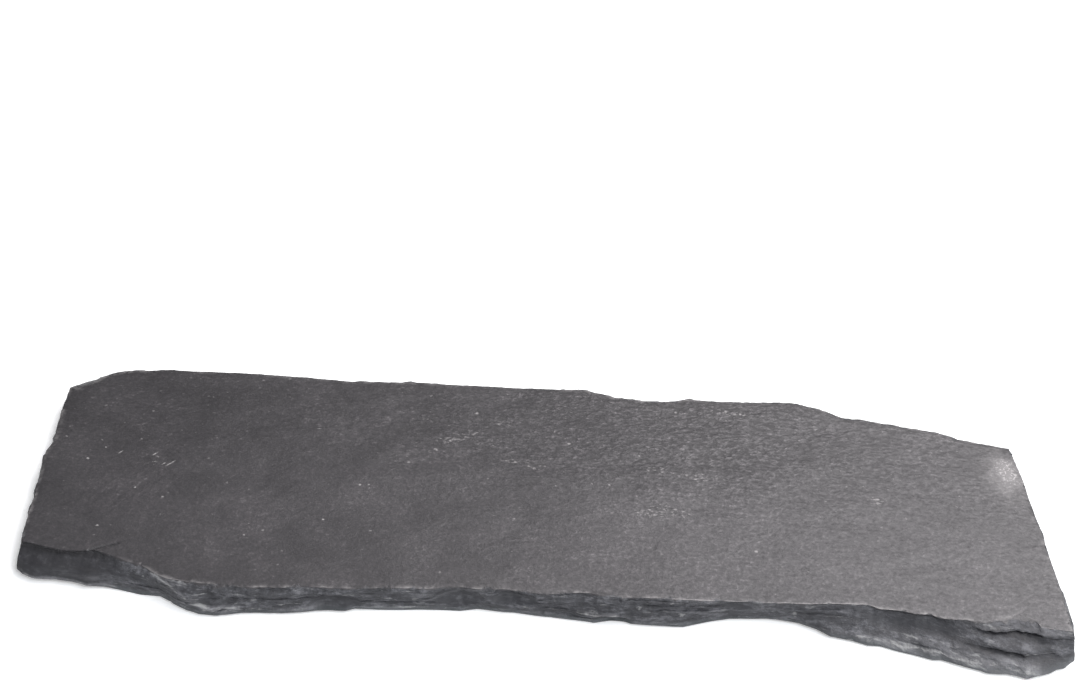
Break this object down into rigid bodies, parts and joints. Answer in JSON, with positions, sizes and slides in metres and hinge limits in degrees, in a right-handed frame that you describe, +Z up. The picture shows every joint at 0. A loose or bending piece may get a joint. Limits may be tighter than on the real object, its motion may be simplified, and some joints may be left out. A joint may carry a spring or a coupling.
{
  "type": "slate slab",
  "caption": "Long flat slab of dark grey riven slate with one smooth cleavage face and chipped, layered edges, lying on its flat underside.",
  "frame": {"origin": "middle of the slab's outline on the surface it lies on", "axes": "+X along the slab, +Y from its chipped front edge to its back, +Z up out of its top face"},
  "size_m": [0.2593, 0.0944, 0.0062],
  "materials": {
    "slate": "riven, fine-grained and matt, with a faint sheen"
  },
  "bodies": {
    "root": {"slate_slab": "slate"}
  },
  "joints": []
}
